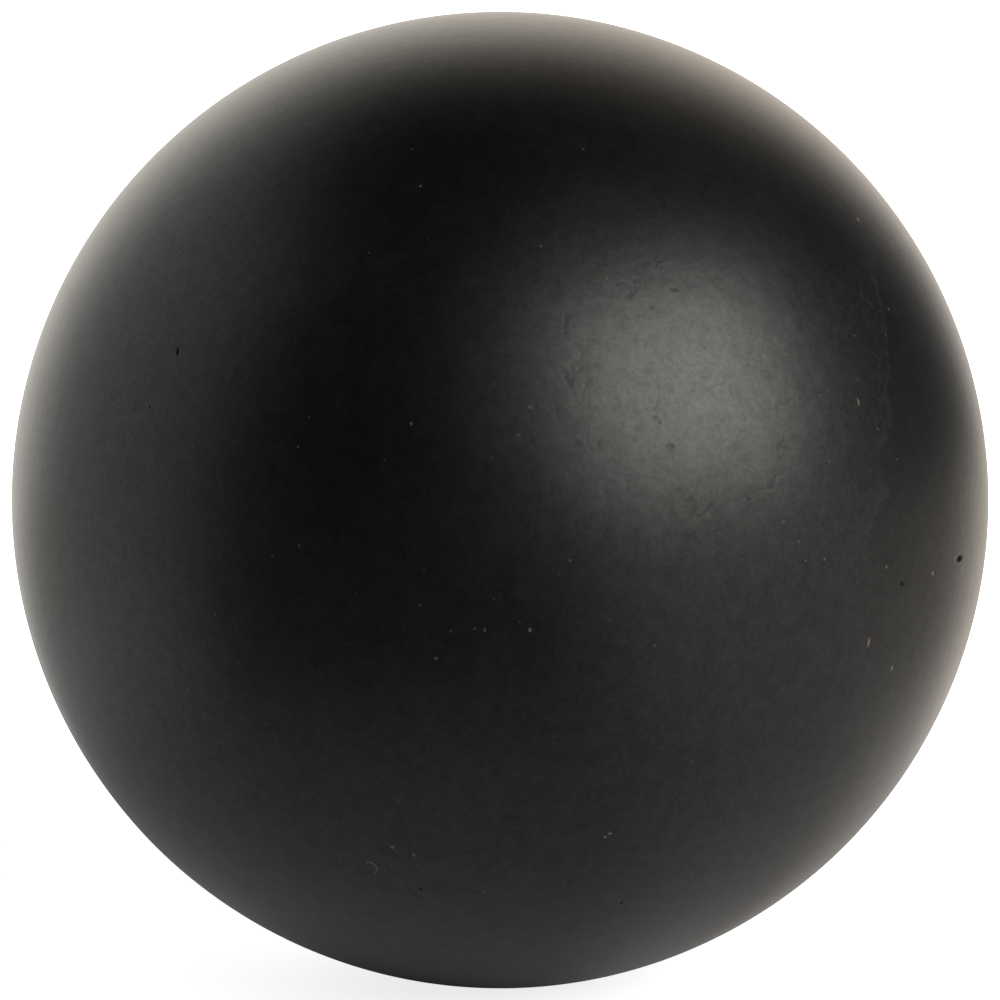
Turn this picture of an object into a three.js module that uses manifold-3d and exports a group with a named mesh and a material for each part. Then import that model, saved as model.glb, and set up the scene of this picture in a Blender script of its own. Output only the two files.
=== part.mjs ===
// A hollow rubber friction ball for opening and closing screwed watch case backs.
// Two moulded halves are cemented edge to edge, and a needle valve is bonded in the rear half.
// Millimetres, +Z up. The origin is the ball's centre, the front half faces -Y and the valve faces +Y.
// Every piece is turned about the Y axis, which is the axis that a LatheGeometry turns about.

import * as THREE from 'three';
import { mergeVertices } from 'three/addons/utils/BufferGeometryUtils.js';
import Module from 'manifold-3d';

// Ball.
const ballDiameter = 65;
const wallThickness = 5;
const bondThickness = 0.2; // cement between the two halves
const contactRadius = 2.5; // patch that the ball flattens to under its own weight

// Valve, measured across the Y axis and along it.
const stemRadius = 3.4; // housing's stem, in the rear half's bore
const flangeRadius = 5.6;
const flangeThickness = 1.6;
const bossRadius = 7.2; // thicker part of the rear half's wall, under the flange
const bossHeight = 2;
const plugRadius = 1.9;
const plugRecess = 1; // plug's face, below the ball's skin
const plugBarbRadius = 2.8;
const plugBarbLength = 1.5;
const mouthRadius = 2.3; // chamfered mouth of the housing's bore
const needleRadius = 0.4; // channel through the plug
const needleMouthRadius = 0.9;

// Fineness of the faceted surfaces.
const turnSegments = 64;
const outerSteps = 16; // from the seam to a pole
const innerSteps = 12;
const domeSteps = 2; // across the housing's outer face
const mergeDistance = 1e-4;

// Worked out from the sizes above.
const outerRadius = ballDiameter / 2;
const innerRadius = outerRadius - wallThickness;
const seamY = bondThickness / 2;
const contactZ = -Math.sqrt(outerRadius ** 2 - contactRadius ** 2);
const bossFaceY = innerRadius - bossHeight;
const flangeFaceY = bossFaceY - flangeThickness;
const plugFaceY = outerRadius - plugRecess;

const wasm = await Module();
wasm.setup();

// Distance along the Y axis of a sphere's surface, at a distance r from the axis.
function sphereY(radius, r) {
  return Math.sqrt(radius ** 2 - r ** 2);
}

// Profile points on a sphere of this radius about the ball's centre, from one Y to another.
function arc(radius, fromY, toY, steps) {
  const from = Math.asin(fromY / radius);
  const to = Math.asin(toY / radius);
  return Array.from({ length: steps + 1 }, (_, i) => {
    const y = radius * Math.sin(THREE.MathUtils.lerp(from, to, i / steps));
    return new THREE.Vector2(Math.sqrt(radius ** 2 - y ** 2), y);
  });
}

// Turns a profile that starts and ends on the axis.
function turned(points) {
  return new THREE.LatheGeometry(points, turnSegments);
}

// Turns a profile that stays off the axis, after closing it on its first point.
function turnedRing(points) {
  return turned([...points, points[0]]);
}

// A manifold-3d solid of a closed geometry. Triangles that shrink to a line at a pole are dropped.
function toSolid(geometry) {
  geometry.deleteAttribute('normal');
  geometry.deleteAttribute('uv');
  const merged = mergeVertices(geometry, mergeDistance);
  const corners = Array.from(merged.index.array);
  const triVerts = [];
  for (let i = 0; i < corners.length; i += 3) {
    const triangle = corners.slice(i, i + 3);
    if (new Set(triangle).size === 3) {
      triVerts.push(...triangle);
    }
  }
  const vertProperties = new Float32Array(merged.attributes.position.array);
  return new wasm.Manifold(new wasm.Mesh({
    numProp: 3,
    vertProperties,
    triVerts: new Uint32Array(triVerts),
  }));
}

function fromSolid(solid) {
  const { vertProperties, triVerts } = solid.getMesh();
  const geometry = new THREE.BufferGeometry();
  geometry.setAttribute('position', new THREE.BufferAttribute(vertProperties, 3));
  geometry.setIndex(new THREE.BufferAttribute(triVerts, 1));
  geometry.computeVertexNormals();
  return geometry;
}

// Cuts the resting patch, by taking away everything below it.
function flattened(geometry) {
  const ground = new THREE.BoxGeometry(ballDiameter, ballDiameter, wallThickness);
  ground.translate(0, 0, contactZ - wallThickness / 2);
  return fromSolid(toSolid(geometry).subtract(toSolid(ground)));
}

function rubber(color, roughness) {
  return new THREE.MeshStandardMaterial({ color, roughness, metalness: 0 });
}

function part(name, geometry, material) {
  const mesh = new THREE.Mesh(geometry, material);
  mesh.name = name;
  return mesh;
}

// The plain half: outer skin from its pole to the seam, then the bore of the hollow back to the axis.
function frontHalfShell() {
  const profile = [
    ...arc(outerRadius, -outerRadius, -seamY, outerSteps),
    ...arc(innerRadius, -seamY, -innerRadius, innerSteps),
  ];
  return part('front_half_shell', flattened(turned(profile)), rubber(0x1b1b1c, 0.5));
}

// The half with the valve: a hole through the wall, and a boss around it that carries the flange.
function rearHalfShell() {
  const profile = [
    ...arc(outerRadius, seamY, sphereY(outerRadius, stemRadius), outerSteps),
    new THREE.Vector2(stemRadius, bossFaceY),
    new THREE.Vector2(bossRadius, bossFaceY),
    ...arc(innerRadius, sphereY(innerRadius, bossRadius), seamY, innerSteps),
  ];
  return part('rear_half_shell', flattened(turnedRing(profile)), rubber(0x1b1b1c, 0.5));
}

// Cement ring that fills the gap between the halves, from the hollow out to the skin.
function seamBond() {
  const inner = sphereY(innerRadius, seamY);
  const outer = sphereY(outerRadius, seamY);
  const profile = [
    new THREE.Vector2(inner, -seamY),
    new THREE.Vector2(outer, -seamY),
    new THREE.Vector2(outer, seamY),
    new THREE.Vector2(inner, seamY),
  ];
  return part('seam_bond', flattened(turnedRing(profile)), rubber(0x121213, 0.6));
}

// Flange against the boss, stem through the wall, and an outer face flush with the skin.
function valveHousing() {
  const chamfer = mouthRadius - plugRadius;
  const profile = [
    new THREE.Vector2(plugRadius, flangeFaceY),
    new THREE.Vector2(flangeRadius, flangeFaceY),
    new THREE.Vector2(flangeRadius, bossFaceY),
    new THREE.Vector2(stemRadius, bossFaceY),
    ...arc(outerRadius, sphereY(outerRadius, stemRadius), sphereY(outerRadius, mouthRadius), domeSteps),
    new THREE.Vector2(plugRadius, sphereY(outerRadius, mouthRadius) - chamfer),
  ];
  return part('valve_housing', turnedRing(profile), rubber(0x262627, 0.55));
}

// Soft plug: a barb behind the flange, a shank in the housing's bore, and the needle's channel.
function valvePlug() {
  const barbTipRadius = (needleRadius + plugBarbRadius) / 2;
  const needleMouthDepth = 2 * (needleMouthRadius - needleRadius);
  const profile = [
    new THREE.Vector2(needleRadius, flangeFaceY - plugBarbLength),
    new THREE.Vector2(barbTipRadius, flangeFaceY - plugBarbLength),
    new THREE.Vector2(plugBarbRadius, flangeFaceY),
    new THREE.Vector2(plugRadius, flangeFaceY),
    new THREE.Vector2(plugRadius, plugFaceY),
    new THREE.Vector2(needleMouthRadius, plugFaceY),
    new THREE.Vector2(needleRadius, plugFaceY - needleMouthDepth),
  ];
  return part('valve_plug', turnedRing(profile), rubber(0x333333, 0.7));
}

const shell = new THREE.Group();
shell.add(frontHalfShell(), rearHalfShell(), seamBond());

const valve = new THREE.Group();
valve.add(valveHousing(), valvePlug());

const ball = new THREE.Group();
ball.add(shell, valve);

export default ball;
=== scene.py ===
"""The looks of a rubber friction ball: two moulded halves, their cemented seam and a needle valve."""

import math
from collections import namedtuple
from functools import reduce

import bmesh
import bpy
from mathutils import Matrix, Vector, noise


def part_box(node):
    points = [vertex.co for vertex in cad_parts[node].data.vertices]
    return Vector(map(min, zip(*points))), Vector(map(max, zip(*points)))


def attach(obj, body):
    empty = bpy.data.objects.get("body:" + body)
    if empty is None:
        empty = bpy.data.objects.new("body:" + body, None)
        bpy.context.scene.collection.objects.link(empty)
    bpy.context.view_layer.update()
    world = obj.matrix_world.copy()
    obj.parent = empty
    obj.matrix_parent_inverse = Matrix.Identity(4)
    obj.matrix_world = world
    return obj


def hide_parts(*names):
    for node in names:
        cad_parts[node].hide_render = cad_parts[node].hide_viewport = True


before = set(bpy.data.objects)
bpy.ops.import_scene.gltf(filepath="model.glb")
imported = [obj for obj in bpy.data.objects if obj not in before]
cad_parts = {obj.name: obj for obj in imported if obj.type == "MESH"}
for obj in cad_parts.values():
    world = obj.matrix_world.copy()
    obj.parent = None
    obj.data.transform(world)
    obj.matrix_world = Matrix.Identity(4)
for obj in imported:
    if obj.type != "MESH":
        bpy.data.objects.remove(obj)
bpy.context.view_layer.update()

NOISE_SEED = 1
noise.seed_set(NOISE_SEED)  # the creases bend by noise_vector, which differs from run to run without a seed

# ---------------------------------------------------------------- sizes, in metres

MM = 0.001
FRONT_LOW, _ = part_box("front_half_shell")
_, BOND_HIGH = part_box("seam_bond")
HOUSING_LOW, HOUSING_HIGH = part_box("valve_housing")
PLUG_LOW, PLUG_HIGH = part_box("valve_plug")

# Across and along the Y axis, on which every piece is turned.
WALL = 5 * MM
RADIUS = -FRONT_LOW.y
INNER_RADIUS = RADIUS - WALL
SEAM_Y = BOND_HIGH.y
REST_Z = FRONT_LOW.z  # flat patch that the ball rests on

STEM_RADIUS = 3.4 * MM
BOSS_RADIUS = 7.2 * MM
BOSS_HEIGHT = 2 * MM
BOSS_Y = INNER_RADIUS - BOSS_HEIGHT
FLANGE_RADIUS = HOUSING_HIGH.x
FLANGE_Y = HOUSING_LOW.y
BORE_RADIUS = 1.9 * MM
MOUTH_RADIUS = 2.3 * MM
PLUG_Y = PLUG_HIGH.y
BARB_RADIUS = PLUG_HIGH.x
BARB_Y = PLUG_LOW.y
NEEDLE_RADIUS = 0.4 * MM
NEEDLE_MOUTH_RADIUS = 0.9 * MM

# Fineness of the meshes.
OUTER_CELLS = 212  # squares along one side of the grid that wraps an outer half
INNER_CELLS = OUTER_CELLS // 2
HOLE_CELLS = 24  # squares left out round the valve
VALVE_TURNS = 128
SEAM_TURNS = 720
EDGE = 0.12 * MM  # rounding of the halves' edges
SKIN = 0.2 * MM  # vertices this close to the full radius belong to the skin
RIM_ANGLE = math.acos((SEAM_Y + 3 * EDGE) / RADIUS)  # from a half's pole to the rim of its outer grid
INNER_RIM_ANGLE = math.acos(SEAM_Y / INNER_RADIUS)

# Relief of the skin. All of it goes inwards from the full radius.
OUT_OF_ROUND = 0.03 * MM
PEEL_DEPTH = 0.0012 * MM
CREASE_DEPTH = 0.006 * MM
# How dark the painted shade in the creases is, from 0 to 1.
CREASE_SHADE = 0.2
BUFFED_DEPTH = 0.02 * MM
BUFFED_REACH = 2.5 * MM

# How fine the relief's noise is. It is read on a ball of radius 1, so a higher number makes smaller lumps.
ROUND_NOISE = 1.5
PEEL_NOISE = 22
FINE_PEEL_NOISE = 45
BEAD_NOISE = 60
RAGGED_NOISE = 300
BEND_NOISE = 30
CREASE_NOISE = 19
PATCH_NOISE = 23

# Shape of the creases, on the same ball. The shifts choose which part of the noise is used.
CREASE_BEND = 0.03
CREASE_WIDTH = 0.09
CREASE_SHIFT = Vector((4.1, 0, 0))
PATCH_SHIFT = Vector((0, 7.3, 0))
PATCH_EDGES = (0.02, 0.30)

# Area whose mesh is fine enough for creases, as a direction and a half angle on the ball.
CREASED_AZIMUTH = 20
CREASED_ELEVATION = 15
CREASED_ANGLE = 17
CREASED_FADE = 3

# A nick or dent in the skin. Angles are in degrees and sizes in metres; shade is how dark the painted shade
# in its hollow makes it look.
Mark = namedtuple("Mark", "azimuth elevation half_width half_length turn depth shade")
RAGGED = 0.25  # how much its outline wanders, as a share of its size
DENT_EDGES = (1.1, 0.2)  # where its depth starts and is full, in half widths
# Where a mark's painted shade starts and is full, in half widths.
SHADE_EDGES = (1.15, 0.55)
MARK_REACH = 1.6  # beyond its ragged edge, in half widths or half lengths
NEAR_MARK = 1.2 * MM  # the mesh is finer this near to a mark's middle
ON_MARK = 0.5 * MM  # and finer still this near
AREA_CUTS = 3
MARK_CUTS = 2
MARKS = [
    Mark(17.5, 10, 0.31 * MM, 0.38 * MM, 75, 0.010 * MM, 0.30),
    Mark(20, 26.5, 0.20 * MM, 0.28 * MM, 85, 0.008 * MM, 0.32),
    Mark(17, 24.5, 0.14 * MM, 0.20 * MM, 60, 0.006 * MM, 0.32),
    Mark(16, 13, 0.15 * MM, 0.17 * MM, 45, 0.006 * MM, 0.34),
    Mark(16.5, 12.5, 0.14 * MM, 0.17 * MM, 30, 0.006 * MM, 0.34),
    Mark(26, 4.5, 0.15 * MM, 0.17 * MM, 0, 0.006 * MM, 0.30),
    Mark(19, 29, 0.14 * MM, 0.16 * MM, 0, 0.004 * MM, 0.2),
    Mark(61.5, -4, 0.72 * MM, 0.25 * MM, 0, 0.08 * MM, 1.0),
    Mark(48, -5.5, 0.16 * MM, 0.34 * MM, 60, 0.04 * MM, 0.6),
    Mark(-38, 19.5, 0.10 * MM, 0.34 * MM, 10, 0.04 * MM, 0.85),
    Mark(-40.5, 13.5, 0.10 * MM, 0.16 * MM, 10, 0.03 * MM, 0.5),
    Mark(-11, -40.5, 0.16 * MM, 0.16 * MM, 0, 0.03 * MM, 0.7),
    Mark(18, -43.5, 0.14 * MM, 0.18 * MM, 0, 0.03 * MM, 0.6),
]


def toward(azimuth, elevation):
    """A unit direction from the ball's centre. Azimuth 0 is -Y, and it grows towards +X."""
    a, e = math.radians(azimuth), math.radians(elevation)
    return Vector((math.sin(a) * math.cos(e), -math.cos(a) * math.cos(e), math.sin(e)))


# ---------------------------------------------------------------- relief of the skin


def smooth(value, low, high):
    """Smoothly from 0 where value is low to 1 where it is high."""
    share = min(1.0, max(0.0, (value - low) / (high - low)))
    return share * share * (3 - 2 * share)


def crease(direction):
    """1 along the middle of the short, thin, wandering creases in the creased area, and 0 away from them."""
    from_centre = direction.angle(toward(CREASED_AZIMUTH, CREASED_ELEVATION))
    inside = smooth(from_centre, math.radians(CREASED_ANGLE), math.radians(CREASED_ANGLE - CREASED_FADE))
    if inside == 0:
        return 0.0
    bent = direction + CREASE_BEND * noise.noise_vector(direction * BEND_NOISE)
    line = abs(noise.noise(bent * CREASE_NOISE + CREASE_SHIFT))
    thin = smooth(line, CREASE_WIDTH, 0.0)
    patches = smooth(noise.noise(direction * PATCH_NOISE + PATCH_SHIFT), *PATCH_EDGES)
    return inside * thin * patches


def mark_at(direction):
    """Depth of the marks at a direction, and the painted shade in their hollows."""
    depth = 0.0
    shade = 0.0
    for mark in MARKS:
        centre = toward(mark.azimuth, mark.elevation)
        offset = (direction - centre) * RADIUS
        if offset.length > MARK_REACH * max(mark.half_width, mark.half_length):
            continue
        east = Vector((0, 0, 1)).cross(centre).normalized()
        north = centre.cross(east)
        turn = math.radians(mark.turn)
        across = offset.dot(east) * math.cos(turn) + offset.dot(north) * math.sin(turn)
        along = offset.dot(north) * math.cos(turn) - offset.dot(east) * math.sin(turn)
        ragged = 1 + RAGGED * noise.noise(direction * RAGGED_NOISE)
        spread = math.hypot(across / mark.half_width, along / mark.half_length) * ragged
        depth += mark.depth * smooth(spread, *DENT_EDGES)
        shade = max(shade, mark.shade * smooth(spread, *SHADE_EDGES))
    return depth, shade


def relief(direction):
    """Depth of the skin below the full radius at a direction, and the painted shade that darkens its marks
    and creases.
    """
    depth, shade = mark_at(direction)
    depth += OUT_OF_ROUND * (0.5 + 0.5 * noise.noise(direction * ROUND_NOISE))
    peel = noise.noise(direction * PEEL_NOISE) + 0.5 * noise.noise(direction * FINE_PEEL_NOISE)
    depth += PEEL_DEPTH * (1 + peel)
    depth += BUFFED_DEPTH * smooth(abs(direction.y) * RADIUS, BUFFED_REACH, 0)
    fold = crease(direction)
    depth += CREASE_DEPTH * fold
    return depth, max(shade, CREASE_SHADE * fold)


# ---------------------------------------------------------------- mesh helpers


class Shell:
    """A mesh built from rings of vertices round the Y axis and grids that wrap a sphere."""

    def __init__(self, name, pole=1):
        self.name = name
        self.pole = pole  # -1 for the front, +1 for the rear
        self.vertices = []
        self.faces = []

    def point(self, across, angle, along):
        """A vertex at a distance across from the Y axis, turned by angle, and along towards the pole."""
        self.vertices.append((across * math.cos(angle), self.pole * along, across * math.sin(angle)))
        return len(self.vertices) - 1

    def ring(self, count, across, along):
        """A ring of vertices that starts where a grid's own rings start."""
        start = -math.pi / 4
        return [self.point(across, start + 2 * math.pi * i / count, along) for i in range(count)]

    def bridge(self, a, b):
        """Joins two rings of the same count with squares."""
        for i in range(len(a)):
            j = (i + 1) % len(a)
            self.faces.append((a[i], a[j], b[j], b[i]))

    def halve(self, fine, coarse):
        """Joins a ring to one of half its count with triangles."""
        for i in range(len(coarse)):
            j = (i + 1) % len(coarse)
            left, middle, right = fine[2 * i], fine[2 * i + 1], fine[(2 * i + 2) % len(fine)]
            self.faces.append((left, middle, coarse[i]))
            self.faces.append((middle, coarse[j], coarse[i]))
            self.faces.append((middle, right, coarse[j]))

    def turned(self, profile, count):
        """Turns a closed profile of (across, along) points about the Y axis."""
        rings = [self.ring(count, across, along) for across, along in profile]
        for i in range(len(rings)):
            self.bridge(rings[i - 1], rings[i])

    def cap(self, radius, cells, rim_angle, hole_cells=0, hole_angle=0.0):
        """A square grid wrapped on a sphere round the pole. Squares round its middle become circles.

        Returns its outer ring and, if it has a hole, the hole's ring."""
        half = cells // 2
        hole = hole_cells // 2
        index = {}
        for i in range(-half, half + 1):
            for j in range(-half, half + 1):
                level = max(abs(i), abs(j))
                if level < hole:
                    continue
                share = (level - hole) / (half - hole)
                polar = hole_angle + share * (rim_angle - hole_angle)
                turn = square_angle(i, j)
                index[i, j] = self.point(radius * math.sin(polar), turn, radius * math.cos(polar))
        for i in range(-half, half):
            for j in range(-half, half):
                in_hole = max(abs(2 * i + 1), abs(2 * j + 1)) < 2 * hole
                if not in_hole:
                    corners = [(i, j), (i + 1, j), (i + 1, j + 1), (i, j + 1)]
                    self.faces.append(tuple(index[c] for c in corners))
        rim = [index[c] for c in square_ring(half)]
        mouth = [index[c] for c in square_ring(hole)] if hole else []
        return rim, mouth

    def build(self, node, material, rework=None):
        """The finished piece, with its faces pointing out, riding on the ball in place of a CAD node."""
        bm = bmesh.new()
        vertices = [bm.verts.new(v) for v in self.vertices]
        for face in self.faces:
            bm.faces.new([vertices[i] for i in face])
        bmesh.ops.recalc_face_normals(bm, faces=bm.faces)
        if rework:
            rework(bm)
        bmesh.ops.triangulate(bm, faces=bm.faces)
        for face in bm.faces:
            face.smooth = True
        mesh = bpy.data.meshes.new(self.name)
        bm.to_mesh(mesh)
        bm.free()
        mesh.materials.append(material)
        piece = bpy.data.objects.new(self.name, mesh)
        bpy.context.scene.collection.objects.link(piece)
        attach(piece, "root")
        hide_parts(node)
        return piece


def square_angle(i, j):
    """The angle of a grid corner once its square has become a circle."""
    if i == 0 and j == 0:
        return 0.0
    if abs(i) >= abs(j):
        return (0.0 if i > 0 else math.pi) + math.pi / 4 * j / i
    return (math.pi / 2 if j > 0 else -math.pi / 2) - math.pi / 4 * i / j


def square_ring(level):
    """The grid corners at a level, in the order of their angles."""
    east = [(level, j) for j in range(-level, level)]
    north = [(i, level) for i in range(level, -level, -1)]
    west = [(-level, j) for j in range(level, -level, -1)]
    south = [(i, -level) for i in range(-level, level)]
    return east + north + west + south


def rounded(corner, before, after, size, steps=4):
    """Points that round a corner of a profile, given as (across, along), between two neighbours."""
    corner, before, after = Vector(corner), Vector(before), Vector(after)
    start = corner + (before - corner).normalized() * size
    end = corner + (after - corner).normalized() * size
    points = []
    for k in range(steps + 1):
        t = k / steps
        points.append((1 - t) ** 2 * start + 2 * t * (1 - t) * corner + t ** 2 * end)
    return points


def rounded_profile(corners):
    """A closed profile from (across, along, rounding) corners. A corner of no rounding stays sharp."""
    profile = []
    for i, (across, along, rounding) in enumerate(corners):
        before, after = corners[i - 1][:2], corners[(i + 1) % len(corners)][:2]
        profile += rounded((across, along), before, after, rounding) if rounding else [(across, along)]
    return profile


def sphere_along(radius, across):
    """Distance along the Y axis of a sphere's surface, at a distance across from the axis."""
    return math.sqrt(radius ** 2 - across ** 2)


def refine(bm, near, cuts):
    """Splits the skin's faces that are near enough into smaller ones, and puts these on the sphere."""
    faces = [f for f in bm.faces if near(f.calc_center_median())]
    edges = list(dict.fromkeys(e for f in faces for e in f.edges))
    made = bmesh.ops.subdivide_edges(bm, edges=edges, cuts=cuts, use_grid_fill=True)
    for part in made["geom_inner"]:
        if isinstance(part, bmesh.types.BMVert):
            part.co = part.co.normalized() * RADIUS


def press_skin(bm):
    """Lays the relief on the skin, keeps its painted shade for the material, and flattens the resting patch.
    """
    # The mark layer holds painted shade for the marks and creases, which the material turns into darker
    # colour and weaker reflection.
    shade_layer = bm.verts.layers.float.new("mark")
    for v in bm.verts:
        if v.co.length < RADIUS - SKIN:
            continue
        direction = v.co.normalized()
        depth, v[shade_layer] = relief(direction)
        v.co -= direction * depth
        v.co.z = max(v.co.z, REST_Z)


# ---------------------------------------------------------------- the pieces


def shell_rim(shell, outer_rim, inner_rim):
    """Rounds the outer edge of a half and closes its seam face."""
    previous = outer_rim
    for across, along in rounded((RADIUS, SEAM_Y), (RADIUS, RADIUS), (0, SEAM_Y), EDGE):
        ring = shell.ring(len(outer_rim), across, along)
        shell.bridge(previous, ring)
        previous = ring
    shell.halve(previous, inner_rim)


def refine_marked_areas(bm):
    """Makes the mesh fine in the creased area and round the marks, and finer still on the marks."""
    centre = toward(CREASED_AZIMUTH, CREASED_ELEVATION)
    limit = math.cos(math.radians(CREASED_ANGLE))
    marks = [toward(m.azimuth, m.elevation) * RADIUS for m in MARKS]

    def on_skin(point):
        return point.length > RADIUS - EDGE / 4

    def creased_or_marked(point):
        inside = point.normalized().dot(centre) > limit
        return on_skin(point) and (inside or any((point - m).length < NEAR_MARK for m in marks))

    def marked(point):
        return on_skin(point) and any((point - m).length < ON_MARK for m in marks)

    refine(bm, creased_or_marked, AREA_CUTS)
    refine(bm, marked, MARK_CUTS)


def front_half(material):
    """The plain half, with its creases and marks."""
    shell = Shell("front_half", -1)
    outer_rim, _ = shell.cap(RADIUS, OUTER_CELLS, RIM_ANGLE)
    inner_rim, _ = shell.cap(INNER_RADIUS, INNER_CELLS, INNER_RIM_ANGLE)
    shell_rim(shell, outer_rim, inner_rim)

    def rework(bm):
        refine_marked_areas(bm)
        press_skin(bm)

    shell.build("front_half_shell", material, rework)


def rear_half(material):
    """The half with the valve's hole through its wall, and the boss inside."""
    shell = Shell("rear_half", 1)
    hole_angle = math.asin((STEM_RADIUS + 2 * EDGE) / RADIUS)
    boss_angle = math.asin(BOSS_RADIUS / INNER_RADIUS)
    outer_rim, mouth = shell.cap(RADIUS, OUTER_CELLS, RIM_ANGLE, HOLE_CELLS, hole_angle)
    inner_rim, boss_ring = shell.cap(INNER_RADIUS, INNER_CELLS, INNER_RIM_ANGLE, HOLE_CELLS, boss_angle)
    shell_rim(shell, outer_rim, inner_rim)

    top = sphere_along(RADIUS, STEM_RADIUS)
    profile = rounded((STEM_RADIUS, top), (RADIUS, top), (STEM_RADIUS, 0), EDGE)
    profile += [(STEM_RADIUS, BOSS_Y), (BOSS_RADIUS, BOSS_Y)]
    previous = mouth
    for across, along in profile:
        ring = shell.ring(len(mouth), across, along)
        shell.bridge(previous, ring)
        previous = ring
    shell.bridge(previous, boss_ring)
    shell.build("rear_half_shell", material, press_skin)


def seam_line(material):
    """The cement between the halves. Its outer bead is lumpy and sits just below the skin."""
    sunk = 0.035 * MM
    lump = 0.015 * MM
    bead_steps = 6
    shell = Shell("seam_line")
    inner = sphere_along(INNER_RADIUS, SEAM_Y)
    bead = [(RADIUS, SEAM_Y * (2 * k / bead_steps - 1)) for k in range(bead_steps + 1)]
    shell.turned([(inner, -SEAM_Y), *bead, (inner, SEAM_Y)], SEAM_TURNS)

    def rework(bm):
        for v in bm.verts:
            if v.co.length < RADIUS - SKIN:
                continue
            direction = v.co.normalized()
            crown = (v.co.y / SEAM_Y) ** 2
            depth = relief(direction)[0] + sunk + 0.5 * sunk * crown
            depth += lump * noise.noise(direction * BEAD_NOISE)
            v.co -= direction * depth
            v.co.z = max(v.co.z, REST_Z)

    shell.build("seam_bond", material, rework)


def valve_seat(material):
    """The firm housing: flange inside the ball, stem through the wall, and a grooved, domed face."""
    edge = 0.1 * MM
    groove_radius = 2.85 * MM
    groove = 0.14 * MM
    chamfer = MOUTH_RADIUS - BORE_RADIUS
    sunk = 0.04 * MM  # face, below the skin round it
    face = RADIUS - sunk
    corners = [
        (BORE_RADIUS, FLANGE_Y, edge),
        (FLANGE_RADIUS, FLANGE_Y, 3 * edge),
        (FLANGE_RADIUS, BOSS_Y, edge),
        (STEM_RADIUS, BOSS_Y, 0),
        (STEM_RADIUS, sphere_along(face, STEM_RADIUS), edge),
        (groove_radius + groove, sphere_along(face, groove_radius + groove), edge / 4),
        (groove_radius, sphere_along(face, groove_radius) - groove, edge / 2),
        (groove_radius - groove, sphere_along(face, groove_radius - groove), edge / 4),
        (MOUTH_RADIUS, sphere_along(face, MOUTH_RADIUS), edge),
        (BORE_RADIUS, sphere_along(face, MOUTH_RADIUS) - chamfer, edge),
    ]
    shell = Shell("valve_seat")
    shell.turned(rounded_profile(corners), VALVE_TURNS)
    shell.build("valve_housing", material)


def valve_core(material):
    """The soft plug: barb behind the flange, shank in the bore, and a flared mouth for the needle."""
    edge = 0.15 * MM
    swell = 0.1 * MM  # gentle rise of the face round the needle's mouth
    barb_tip_radius = (NEEDLE_RADIUS + BARB_RADIUS) / 2
    mouth_depth = 2 * (NEEDLE_MOUTH_RADIUS - NEEDLE_RADIUS)
    corners = [
        (NEEDLE_RADIUS, BARB_Y, edge / 2),
        (barb_tip_radius, BARB_Y, 2 * edge),
        (BARB_RADIUS, FLANGE_Y, edge),
        (BORE_RADIUS, FLANGE_Y, 0),
        (BORE_RADIUS, PLUG_Y - swell, edge),
        (1.1 * NEEDLE_MOUTH_RADIUS, PLUG_Y, edge),
        (NEEDLE_MOUTH_RADIUS, PLUG_Y - swell, edge / 2),
        (NEEDLE_RADIUS, PLUG_Y - mouth_depth, 2 * edge),
    ]
    shell = Shell("valve_core")
    shell.turned(rounded_profile(corners), VALVE_TURNS)
    shell.build("valve_plug", material)


# ---------------------------------------------------------------- node helpers


def feed(tree, socket, value):
    """Gives a socket a number or a colour, or links another node's output to it."""
    if isinstance(value, bpy.types.NodeSocket):
        tree.links.new(value, socket)
    else:
        socket.default_value = value


def maths(tree, operation, *values):
    made = tree.nodes.new("ShaderNodeMath")
    made.operation = operation
    for socket, value in zip(made.inputs, values):
        feed(tree, socket, value)
    return made.outputs[0]


def total(tree, *values):
    return reduce(lambda a, b: maths(tree, "ADD", a, b), values)


def product(tree, *values):
    return reduce(lambda a, b: maths(tree, "MULTIPLY", a, b), values)


def largest(tree, *values):
    return reduce(lambda a, b: maths(tree, "MAXIMUM", a, b), values)


def swing(tree, value, amount):
    """Noise from 0 to 1, turned into a swing round 0 of an amount from end to end."""
    return product(tree, total(tree, value, -0.5), amount)


def without(tree, value):
    """1 minus the value."""
    return maths(tree, "SUBTRACT", 1.0, value)


def ramp(tree, value, low, high):
    """Smoothly from 0 where value is low to 1 where it is high."""
    made = tree.nodes.new("ShaderNodeMapRange")
    made.interpolation_type = "SMOOTHSTEP"
    feed(tree, made.inputs["Value"], value)
    feed(tree, made.inputs["From Min"], low)
    feed(tree, made.inputs["From Max"], high)
    return made.outputs["Result"]


def mixed(tree, share, low, high):
    """low where share is 0 and high where it is 1."""
    made = tree.nodes.new("ShaderNodeMapRange")
    feed(tree, made.inputs["Value"], share)
    feed(tree, made.inputs["To Min"], low)
    feed(tree, made.inputs["To Max"], high)
    return made.outputs["Result"]


def mixed_colour(tree, share, low, high):
    made = tree.nodes.new("ShaderNodeMix")
    made.data_type = "RGBA"
    # The node has sockets for every type of data, and these are the ones for colours.
    share_socket, low_socket, high_socket = made.inputs[0], made.inputs[6], made.inputs[7]
    feed(tree, share_socket, share)
    feed(tree, low_socket, low)
    feed(tree, high_socket, high)
    return made.outputs[2]


def angle_ramp(tree, value, low, high):
    """A ramp between two angles in degrees."""
    return ramp(tree, value, math.radians(low), math.radians(high))


def window(tree, value, low, high, soft):
    """1 between two angles in degrees and 0 outside them, with soft edges."""
    rise = angle_ramp(tree, value, low - soft, low + soft)
    fall = angle_ramp(tree, value, high + soft, high - soft)
    return product(tree, rise, fall)


def axes(tree, vector):
    made = tree.nodes.new("ShaderNodeSeparateXYZ")
    tree.links.new(vector, made.inputs[0])
    return made.outputs


def ball_position(tree):
    """A point's place on the ball, in metres from its centre."""
    return tree.nodes.new("ShaderNodeTexCoord").outputs["Object"]


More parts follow.
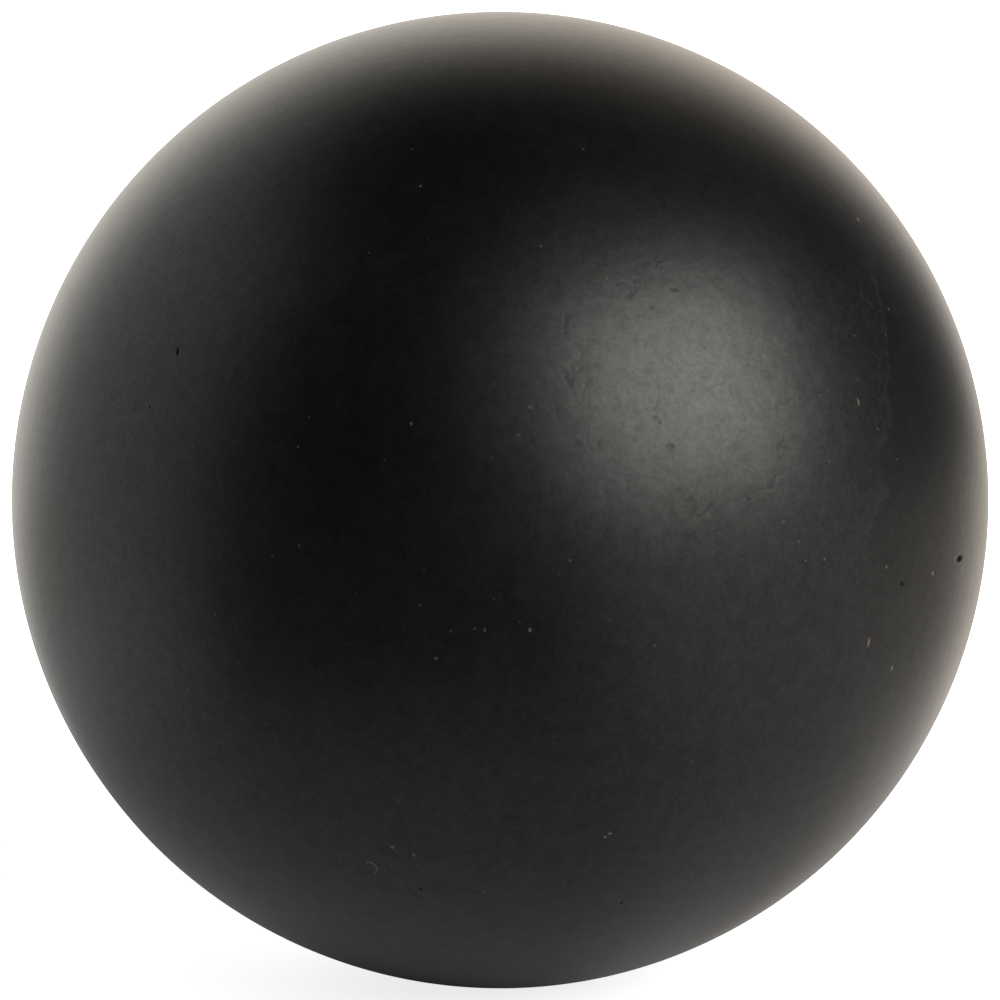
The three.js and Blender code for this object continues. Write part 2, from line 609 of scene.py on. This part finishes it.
def stretched(tree, vector, factors):
    """The vector with each axis multiplied by a factor. A small factor draws a texture out on its axis."""
    made = tree.nodes.new("ShaderNodeVectorMath")
    made.operation = "MULTIPLY"
    feed(tree, made.inputs[0], vector)
    feed(tree, made.inputs[1], factors)
    return made.outputs[0]


def cloud(tree, vector, period, detail=2.0, distortion=0.0):
    """Noise from 0 to 1 whose lumps are about a period wide."""
    made = tree.nodes.new("ShaderNodeTexNoise")
    feed(tree, made.inputs["Vector"], vector)
    feed(tree, made.inputs["Scale"], 1 / period)
    feed(tree, made.inputs["Detail"], detail)
    feed(tree, made.inputs["Distortion"], distortion)
    return made.outputs[0]


def jittered(tree, vector, period, amount):
    """The vector moved about at random by up to half an amount each way, which makes outlines ragged."""
    made = tree.nodes.new("ShaderNodeTexNoise")
    feed(tree, made.inputs["Vector"], vector)
    feed(tree, made.inputs["Scale"], 1 / period)
    feed(tree, made.inputs["Detail"], 0)
    shift = tree.nodes.new("ShaderNodeVectorMath")
    shift.operation = "MULTIPLY_ADD"
    feed(tree, shift.inputs[0], made.outputs["Color"])
    feed(tree, shift.inputs[1], (amount, amount, amount))
    feed(tree, shift.inputs[2], vector)
    back = tree.nodes.new("ShaderNodeVectorMath")
    back.operation = "SUBTRACT"
    feed(tree, back.inputs[0], shift.outputs[0])
    feed(tree, back.inputs[1], (amount / 2, amount / 2, amount / 2))
    return back.outputs[0]


def bumped(tree, height, depth, below=None):
    """A normal for a height from 0 to 1 that stands for a depth in metres."""
    made = tree.nodes.new("ShaderNodeBump")
    feed(tree, made.inputs["Height"], height)
    feed(tree, made.inputs["Distance"], depth)
    if below:
        tree.links.new(below, made.inputs["Normal"])
    return made.outputs[0]


def node_material(name):
    material = bpy.data.materials.new(name)
    material.use_nodes = True
    tree = material.node_tree
    return material, tree, tree.nodes["Principled BSDF"]


# ---------------------------------------------------------------- rubber of the halves

BLACK = (0.0016, 0.0016, 0.0017, 1)
FILM_COLOUR = (0.010, 0.010, 0.0105, 1)
DUST_COLOUR = (0.30, 0.29, 0.27, 1)
STRAW_COLOUR = (0.33, 0.27, 0.12, 1)
# Colour of the painted shade in the marks and creases.
PAINTED_SHADE_COLOUR = (0, 0, 0, 1)

# Widths of the lumps in the rubber's textures.
GRAIN_WIDTH = 0.26 * MM
BLOOM_WIDTH = 0.28 * MM
MOTTLE_WIDTH = 0.9 * MM
STREAK_WIDTH = 1.3 * MM
SMUDGE_WIDTH = 1.7 * MM
DRIFT_WIDTH = 9 * MM

# The dried film and its tide line. Azimuths are in degrees, and each pair says where a fade starts and ends.
FILM_GROWS = (13, 35)
FILM_ENDS = (43.1, 42.7)
FILM_BOTTOM = (-4 * MM, 1 * MM)
FILM_TOP = (19 * MM, 14 * MM)
TIDE_EDGES = (42.1, 42.9, 0.3)
TIDE_LEAN = 0.345  # radians of azimuth for each radius of height
TIDE_WANDER = 6.5
TIDE_WANDER_WIDTH = 2.6 * MM
TIDE_GAP_WIDTH = 1.1 * MM

# Specks that stand alone, as azimuth and elevation in degrees and a radius in metres.
Speck = namedtuple("Speck", "azimuth elevation radius")
LARGE_SPECK = 0.15 * MM  # smaller ones are fainter
SPECKS = [
    Speck(56, 35, 0.20 * MM),
    Speck(-1.5, -8, 0.12 * MM),
    Speck(3, -8, 0.13 * MM),
    Speck(-9, 12.5, 0.11 * MM),
    Speck(-8, -5.5, 0.10 * MM),
    Speck(-6.5, -11, 0.11 * MM),
    Speck(7, -1, 0.10 * MM),
    Speck(-20, 13, 0.09 * MM),
    Speck(-21, 10, 0.11 * MM),
    Speck(-23.5, -1, 0.09 * MM),
    Speck(-10.5, 39, 0.12 * MM),
    Speck(-36, -16, 0.13 * MM),
    Speck(52.5, 24, 0.12 * MM),
    Speck(50, 21, 0.09 * MM),
    Speck(63.5, 20.5, 0.11 * MM),
    Speck(54.5, -5, 0.19 * MM),
    Speck(49, -15, 0.20 * MM),
    Speck(45, -3.5, 0.14 * MM),
    Speck(44.5, 11, 0.10 * MM),
    Speck(36.5, 8, 0.10 * MM),
    Speck(32, 0, 0.10 * MM),
    Speck(33, -2, 0.11 * MM),
    Speck(35.5, -2, 0.11 * MM),
]
STRAW_SPECKS = [
    Speck(13, -32.5, 0.13 * MM),
    Speck(13.5, -32, 0.14 * MM),
    Speck(-13.5, -34, 0.14 * MM),
    Speck(-11, -35, 0.13 * MM),
]
STREAK_SHAPE = 3  # times as tall as wide
PALE_STREAKS = [
    Speck(42, 14, 0.12 * MM),
    Speck(63, -5.5, 0.17 * MM),
    Speck(66, -9, 0.13 * MM),
]
STRAW_STREAKS = [
    Speck(43.5, -11.5, 0.14 * MM),
]


def placed_specks(tree, position, specks, shape=1):
    """1 on each of the specks, whose shape is how many times as tall as wide they are."""
    position = stretched(tree, position, (1, 1, 1 / shape))
    masks = []
    for speck in specks:
        centre = toward(speck.azimuth, speck.elevation) * RADIUS
        centre.z /= shape
        made = tree.nodes.new("ShaderNodeVectorMath")
        made.operation = "DISTANCE"
        feed(tree, made.inputs[0], position)
        feed(tree, made.inputs[1], centre)
        dot = ramp(tree, made.outputs["Value"], 1.15 * speck.radius, 0.25 * speck.radius)
        masks.append(product(tree, dot, min(1.0, (speck.radius / LARGE_SPECK) ** 2)))
    return largest(tree, *masks)


def scattered_specks(tree, position, period, radius):
    """Specks strewn at random, bright to faint, and thicker in some places than in others."""
    made = tree.nodes.new("ShaderNodeTexVoronoi")
    feed(tree, made.inputs["Vector"], position)
    feed(tree, made.inputs["Scale"], 1 / period)
    size = radius / period
    patches = ramp(tree, cloud(tree, position, DRIFT_WIDTH), 0.40, 0.62)
    here = product(tree, size, mixed(tree, patches, 0.5, 1.1))
    spot = ramp(tree, made.outputs["Distance"], here, product(tree, here, 0.4))
    chance = axes(tree, made.outputs["Color"])[0]
    return product(tree, spot, mixed(tree, maths(tree, "POWER", chance, 2.5), 0.1, 1.0))


def fibre(tree, position, azimuth, elevation, size, spread):
    """A short curl of lint: part of a ring that lies on the skin."""
    centre = toward(azimuth, elevation)
    made = tree.nodes.new("ShaderNodeVectorMath")
    made.operation = "SUBTRACT"
    feed(tree, made.inputs[0], position)
    feed(tree, made.inputs[1], centre * RADIUS)
    x, _, z = axes(tree, made.outputs[0])
    out = maths(tree, "SQRT", total(tree, product(tree, x, x), product(tree, z, z)))
    away = maths(tree, "ABSOLUTE", maths(tree, "SUBTRACT", out, size))
    thread = ramp(tree, away, 0.07 * MM, 0.02 * MM)
    side = ramp(tree, total(tree, x, product(tree, z, spread)), 0, 0.1 * MM)
    front = ramp(tree, axes(tree, position)[1], 0, -MM)
    return product(tree, thread, side, front)


def tide_film(tree, position):
    """A dried film on the ball's right, and the pale, wandering tide line where it ends."""
    x, y, z = axes(tree, position)
    azimuth = maths(tree, "ARCTAN2", x, product(tree, y, -1.0))
    wander = swing(tree, cloud(tree, position, TIDE_WANDER_WIDTH, 3), math.radians(TIDE_WANDER))
    across = total(tree, azimuth, product(tree, z, -TIDE_LEAN / RADIUS), wander)
    span = product(tree, ramp(tree, z, *FILM_BOTTOM), ramp(tree, z, *FILM_TOP))
    film = product(tree, angle_ramp(tree, across, *FILM_GROWS), span)
    film = product(tree, film, angle_ramp(tree, across, *FILM_ENDS))
    broken = mixed(tree, ramp(tree, cloud(tree, position, TIDE_GAP_WIDTH, 2), 0.35, 0.6), 0.3, 1.0)
    line = product(tree, window(tree, across, *TIDE_EDGES), span, broken)
    return film, line


def pale_dust(tree, position, ragged):
    """How much pale dust, lint and scuffing lies at a point."""
    fine_dust = scattered_specks(tree, ragged, 1.25 * MM, 0.12 * MM)
    lone_dust = scattered_specks(tree, ragged, 3.5 * MM, 0.17 * MM)
    lint = fibre(tree, position, -17.5, -37.5, 0.45 * MM, 0.6)
    return largest(
        tree,
        product(tree, fine_dust, 0.16),
        product(tree, lone_dust, 0.4),
        product(tree, lint, 0.3),
        product(tree, placed_specks(tree, ragged, SPECKS), 0.4),
        product(tree, placed_specks(tree, ragged, PALE_STREAKS, STREAK_SHAPE), 0.5),
    )


def straw_dust(tree, ragged):
    """How much straw-coloured dust lies at a point."""
    specks = placed_specks(tree, ragged, STRAW_SPECKS)
    streaks = placed_specks(tree, ragged, STRAW_STREAKS, STREAK_SHAPE)
    return product(tree, largest(tree, specks, streaks), 0.5)


def haze(tree, position, drift):
    """How pale the rubber is, from its bloom, smudges, dried film and tide line."""
    film, line = tide_film(tree, position)
    smudges = ramp(tree, cloud(tree, position, SMUDGE_WIDTH, 3), 0.50, 0.68)
    bloom = ramp(tree, cloud(tree, position, BLOOM_WIDTH, 2), 0.46, 0.68)
    return total(
        tree,
        product(tree, ramp(tree, drift, 0.42, 0.66), 0.12),
        product(tree, smudges, 0.14),
        product(tree, bloom, mixed(tree, film, 0.16, 0.7)),
        product(tree, film, 0.22),
        product(tree, line, 0.7),
    )


def skin_normal(tree, position, grain, mottle):
    """Grain and mottle of the skin, and the buffing marks that run round the ball near its seam."""
    _, y, _ = axes(tree, position)
    buffing = cloud(tree, stretched(tree, position, (0.04, 1, 0.04)), 0.25 * MM, 2)
    buffed = ramp(tree, maths(tree, "ABSOLUTE", y), 15 * MM, 2 * MM)
    normal = bumped(tree, mottle, 0.008 * MM)
    normal = bumped(tree, product(tree, buffing, buffed), 0.004 * MM, normal)
    return bumped(tree, grain, 0.004 * MM, normal)


def shell_rubber():
    """Near-black moulded rubber with fine grain, a drifting sheen, a dried film, dust, and painted shade in
    its marks and creases.
    """
    material, tree, shader = node_material("shell_rubber")
    position = ball_position(tree)
    # The mark attribute is the painted shade in the marks and creases.
    mark = tree.nodes.new("ShaderNodeAttribute")
    mark.attribute_name = "mark"
    shade = mark.outputs["Fac"]
    grain = cloud(tree, position, GRAIN_WIDTH, 3)
    mottle = cloud(tree, position, MOTTLE_WIDTH, 2)
    streaks = cloud(tree, stretched(tree, position, (1, 1, 0.22)), STREAK_WIDTH, 2)
    drift = cloud(tree, position, DRIFT_WIDTH, 3, 0.8)
    ragged = jittered(tree, position, 0.25 * MM, 0.12 * MM)
    pale = pale_dust(tree, position, ragged)

    colour = mixed_colour(tree, haze(tree, position, drift), BLACK, FILM_COLOUR)
    colour = mixed_colour(tree, pale, colour, DUST_COLOUR)
    colour = mixed_colour(tree, straw_dust(tree, ragged), colour, STRAW_COLOUR)
    # Painted shade: the marks and creases are darkened towards black.
    colour = mixed_colour(tree, shade, colour, PAINTED_SHADE_COLOUR)
    feed(tree, shader.inputs["Base Color"], colour)

    roughness = total(tree, 0.39, swing(tree, drift, 0.03), swing(tree, streaks, 0.02))
    feed(tree, shader.inputs["Roughness"], total(tree, roughness, product(tree, pale, 0.5)))

    texture = total(tree, swing(tree, grain, 0.65), swing(tree, mottle, 0.5))
    texture = total(tree, 1.0, texture, swing(tree, streaks, 0.12))
    # Painted shade also weakens the reflection in the marks and creases.
    shine = product(tree, 0.5, texture, without(tree, product(tree, shade, 0.9)))
    feed(tree, shader.inputs["Specular IOR Level"], shine)
    feed(tree, shader.inputs["Normal"], skin_normal(tree, position, grain, mottle))
    return material


# ---------------------------------------------------------------- the other materials


def bond_cement():
    """Cured cement: a little glossier than the rubber, with soft lumps and brush marks round the seam."""
    material, tree, shader = node_material("bond_cement")
    position = ball_position(tree)
    lumps = cloud(tree, position, 0.5 * MM, 2)
    drawn = cloud(tree, stretched(tree, position, (0.15, 1, 0.15)), 0.08 * MM, 2)
    colour = mixed_colour(tree, lumps, (0.002, 0.002, 0.002, 1), (0.008, 0.008, 0.0085, 1))
    feed(tree, shader.inputs["Base Color"], colour)
    feed(tree, shader.inputs["Roughness"], mixed(tree, lumps, 0.24, 0.5))
    normal = bumped(tree, drawn, 0.004 * MM, bumped(tree, lumps, 0.02 * MM))
    feed(tree, shader.inputs["Normal"], normal)
    return material


def housing_rubber():
    """Firm matt rubber with the fine, even grain of a spark-eroded mould."""
    material, tree, shader = node_material("housing_rubber")
    position = ball_position(tree)
    grain = cloud(tree, position, 0.09 * MM, 3)
    drift = cloud(tree, position, 1.5 * MM, 3)
    dust = scattered_specks(tree, position, 1.2 * MM, 0.09 * MM)
    colour = mixed_colour(tree, drift, (0.004, 0.004, 0.004, 1), (0.012, 0.012, 0.0125, 1))
    colour = mixed_colour(tree, product(tree, dust, 0.4), colour, DUST_COLOUR)
    feed(tree, shader.inputs["Base Color"], colour)
    feed(tree, shader.inputs["Roughness"], mixed(tree, grain, 0.45, 0.65))
    normal = bumped(tree, grain, 0.006 * MM, bumped(tree, drift, 0.01 * MM))
    feed(tree, shader.inputs["Normal"], normal)
    return material


def plug_rubber():
    """Soft dark grey rubber, dusted with the talc that keeps a needle from sticking."""
    material, tree, shader = node_material("plug_rubber")
    position = ball_position(tree)
    grain = cloud(tree, position, 0.12 * MM, 3)
    talc = ramp(tree, cloud(tree, position, 0.3 * MM, 5, 0.3), 0.42, 0.85)
    colour = mixed_colour(tree, grain, (0.014, 0.014, 0.0135, 1), (0.024, 0.0235, 0.023, 1))
    colour = mixed_colour(tree, product(tree, talc, 0.25), colour, DUST_COLOUR)
    feed(tree, shader.inputs["Base Color"], colour)
    feed(tree, shader.inputs["Roughness"], mixed(tree, talc, 0.6, 0.85))
    feed(tree, shader.inputs["Normal"], bumped(tree, grain, 0.012 * MM))
    return material


# ---------------------------------------------------------------- stage

CAMERA_ELEVATION = math.radians(5)
LENS = 100
SENSOR = 36
BALL_SHARE = 0.9776  # of the frame's width

WHITE = (1, 1, 1, 1)
WARM_LEFT = (1.0, 0.955, 0.86, 1)
WARM_RIGHT = (1.0, 0.89, 0.76, 1)

# How bright each thing is. The last three are what makes the world and the floor look white to the camera.
KEY_LIGHT = 5.9
BACKDROP = 1.55
WALL_LIGHT = 0.64
STRIP_LIGHT = 0.55
CARD_LIGHT = 0.09
FLOOR_SHARE = 0.95  # of the backdrop's and the wall's light, painted as glow on the floor in front of them
WHITE_WORLD = 1.1
WHITE_FLOOR = 0.8
WHITE_GLOW = 0.8

# Azimuths in degrees between which each thing stands, and how soft its edges are.
BACKDROP_EDGES = (-43, 30, 12)
WALL_EDGES = (-110, 30, 8)
STRIP_EDGES = (6, 33, 8)
CARD_EDGES = (30, 156, 12)
FLOOR_CARD_EDGES = (30, 158, 12)

# The key light, in degrees and metres.
KEY_COLOUR = (1.0, 0.98, 0.93)
KEY_AZIMUTH = 43.5
KEY_ELEVATION = 23
KEY_DISTANCE = 0.6
KEY_WIDTH = 0.475
KEY_HEIGHT = 0.405

FLOOR_HALF = 3.0  # half the floor's side

# Distances over the floor, in ball radii. Each pair says where a fade starts and ends.
CONTACT_ASIDE = -0.1  # middle of the painted shadow under the ball
CONTACT_SHADOW_FADE = (0.1, 0.64)
FAR_FADE = (0.95, 2.8)  # from the painted glow near the ball to the painted glow far from it
WARM_FADE = (1.5, 5)
PAINTED_GLOW_SPREAD = 0.9  # how far the painted glow in front of the backdrop spreads to the right

CLIP_START = 10 * MM


def from_view(azimuth, elevation):
    """A world direction from the ball. Azimuth 0 is towards the camera and grows to its right."""
    a, e = math.radians(azimuth), math.radians(elevation)
    right, up, near = math.sin(a) * math.cos(e), math.sin(e), math.cos(a) * math.cos(e)
    c, s = math.cos(CAMERA_ELEVATION), math.sin(CAMERA_ELEVATION)
    return Vector((right, up * s - near * c, up * c + near * s))


def softbox(name, azimuth, elevation, distance, width, height, radiance, colour):
    """A rectangular light that faces the ball. Its power is worked out from how bright its face is."""
    light = bpy.data.lights.new(name, "AREA")
    light.shape = "RECTANGLE"
    light.size, light.size_y = width, height
    light.energy = radiance * math.pi * width * height
    light.color = colour
    lamp = bpy.data.objects.new(name, light)
    direction = from_view(azimuth, elevation)
    lamp.location = direction * distance
    lamp.rotation_euler = direction.to_track_quat("Z", "Y").to_euler()
    lamp.visible_camera = False
    bpy.context.scene.collection.objects.link(lamp)


def compass(tree, x, y):
    """The azimuth of a direction. It is 0 behind the ball, and grows to the camera's right."""
    return maths(tree, "ARCTAN2", x, y)


def warmth(tree, azimuth, share):
    """The backdrop's tint, warmer on the right, where share is 1, and white where it is 0."""
    tint = mixed_colour(tree, angle_ramp(tree, azimuth, -30, 30), WARM_LEFT, WARM_RIGHT)
    return mixed_colour(tree, share, WHITE, tint)


def seen_by_camera(tree):
    return tree.nodes.new("ShaderNodeLightPath").outputs["Is Camera Ray"]


def far_from(tree, x, y, aside):
    """Distance over the floor, in ball radii, from a point that lies aside from the ball's middle."""
    x = total(tree, x, -aside * RADIUS)
    square = total(tree, product(tree, x, x), product(tree, y, y))
    return maths(tree, "DIVIDE", maths(tree, "SQRT", square), RADIUS)


def studio_world():
    """A dark studio: a backdrop behind the ball, a wall on its left, and a strip and a card on its right."""
    world = bpy.data.worlds.new("studio")
    world.use_nodes = True
    bpy.context.scene.world = world
    tree = world.node_tree
    background = tree.nodes["Background"]
    x, y, z = axes(tree, tree.nodes.new("ShaderNodeTexCoord").outputs["Generated"])
    azimuth = compass(tree, x, y)
    elevation = maths(tree, "ARCSINE", z)
    leaning = total(tree, azimuth, product(tree, elevation, -0.17))
    backdrop = window(tree, leaning, *BACKDROP_EDGES)

    def panel(share, radiance, top, soft, droop_left=0.0, droop_right=0.0):
        """Light from a panel with a soft top edge in degrees, which may droop to each side."""
        sag = largest(tree, product(tree, azimuth, -droop_left), product(tree, azimuth, droop_right))
        level = total(tree, elevation, sag)
        height = angle_ramp(tree, level, top + soft, top - soft)
        return product(tree, share, height, radiance)

    light = total(
        tree,
        panel(backdrop, BACKDROP, top=46, soft=15, droop_left=0.35, droop_right=0.44),
        panel(window(tree, azimuth, *WALL_EDGES), WALL_LIGHT, top=50, soft=12),
        panel(window(tree, azimuth, *STRIP_EDGES), STRIP_LIGHT, top=9, soft=9),
        panel(window(tree, azimuth, *CARD_EDGES), CARD_LIGHT, top=20, soft=20),
    )
    camera_ray = seen_by_camera(tree)
    feed(tree, background.inputs["Strength"], largest(tree, light, product(tree, camera_ray, WHITE_WORLD)))
    tinted = product(tree, backdrop, without(tree, camera_ray))
    feed(tree, background.inputs["Color"], warmth(tree, azimuth, tinted))


def near_floor(tree, x, y, azimuth):
    """How bright the floor's painted glow near the ball is: dim, brighter on the right, and darkened by a
    painted shadow under the ball.
    """
    light = mixed(tree, window(tree, azimuth, 25, 147, 22), 0.35, 0.52)
    light = total(tree, light, product(tree, window(tree, azimuth, 25, 90, 15), 0.42))
    # Painted shadow: the glow fades out under the ball.
    contact_shadow = ramp(tree, far_from(tree, x, y, CONTACT_ASIDE), *CONTACT_SHADOW_FADE)
    return product(tree, contact_shadow, light)


def painted_lit_floor(tree, azimuth, spread):
    """1 where the backdrop's painted glow lies on the floor, which spreads to the right near the ball, and 0
    beside it.
    """
    left = angle_ramp(tree, azimuth, -55, -31)
    right = angle_ramp(tree, maths(tree, "SUBTRACT", azimuth, spread), 52, 31)
    return product(tree, left, right)


def far_floor(tree, azimuth, spread, painted_lit):
    """How bright the floor's painted glow far from the ball is, in front of the backdrop, the wall and the
    card.
    """
    card = mixed(tree, angle_ramp(tree, azimuth, 60, 130), 0.44, 0.60)
    wall_azimuth = total(tree, azimuth, product(tree, spread, 0.5))
    return total(
        tree,
        0.055,
        product(tree, painted_lit, FLOOR_SHARE * BACKDROP),
        product(tree, window(tree, wall_azimuth, *WALL_EDGES), FLOOR_SHARE * WALL_LIGHT),
        product(tree, window(tree, azimuth, *FLOOR_CARD_EDGES), card),
    )


def floor_material():
    """White to the camera. To the ball it glows with painted light and a painted shadow, as a floor does
    that lies under the studio's lights.
    """
    material, tree, shader = node_material("floor")
    feed(tree, shader.inputs["Specular IOR Level"], 0)
    x, y, _ = axes(tree, tree.nodes.new("ShaderNodeNewGeometry").outputs["Position"])
    azimuth = compass(tree, x, y)
    distance = far_from(tree, x, y, 0)
    spread = maths(tree, "DIVIDE", PAINTED_GLOW_SPREAD, distance)
    painted_lit = painted_lit_floor(tree, azimuth, spread)
    near = near_floor(tree, x, y, azimuth)
    far = far_floor(tree, azimuth, spread, painted_lit)
    reach = ramp(tree, distance, *FAR_FADE)
    reflected = total(tree, near, product(tree, reach, maths(tree, "SUBTRACT", far, near)))
    warm = largest(
        tree,
        product(tree, painted_lit, reach),
        product(tree, ramp(tree, distance, *WARM_FADE), 0.7),
        product(tree, window(tree, azimuth, 25, 115, 15), 0.5),
    )
    camera_ray = seen_by_camera(tree)
    tinted = product(tree, warm, without(tree, camera_ray))
    feed(tree, shader.inputs["Base Color"], mixed(tree, camera_ray, 0.02, WHITE_FLOOR))
    feed(tree, shader.inputs["Emission Color"], warmth(tree, azimuth, tinted))
    # The floor's emission: painted light and shadow for the ball, and plain white for the camera.
    glow = largest(tree, reflected, product(tree, camera_ray, WHITE_GLOW))
    feed(tree, shader.inputs["Emission Strength"], glow)
    return material


def floor():
    """A large, pale, level square under the ball."""
    half = FLOOR_HALF
    corners = [(-half, -half, REST_Z), (half, -half, REST_Z), (half, half, REST_Z), (-half, half, REST_Z)]
    mesh = bpy.data.meshes.new("floor")
    mesh.from_pydata(corners, [], [(0, 1, 2, 3)])
    mesh.materials.append(floor_material())
    obj = bpy.data.objects.new("floor", mesh)
    bpy.context.scene.collection.objects.link(obj)


def camera():
    """A camera that looks at the ball's middle, from where the ball fills its share of the frame."""
    data = bpy.data.cameras.new("camera")
    data.lens = LENS
    data.sensor_width = SENSOR
    data.clip_start = CLIP_START
    cam = bpy.data.objects.new("camera", data)
    bpy.context.scene.collection.objects.link(cam)
    half = math.atan(BALL_SHARE * SENSOR / 2 / LENS)
    direction = from_view(0, 0)
    cam.location = direction * RADIUS / math.sin(half)
    cam.rotation_euler = direction.to_track_quat("Z", "Y").to_euler()
    bpy.context.scene.camera = cam


# ---------------------------------------------------------------- put together

rubber = shell_rubber()
front_half(rubber)
rear_half(rubber)
seam_line(bond_cement())
valve_seat(housing_rubber())
valve_core(plug_rubber())

bpy.context.scene.view_settings.view_transform = "Standard"
studio_world()
floor()
softbox("key", KEY_AZIMUTH, KEY_ELEVATION, KEY_DISTANCE, KEY_WIDTH, KEY_HEIGHT, KEY_LIGHT, KEY_COLOUR)
camera()
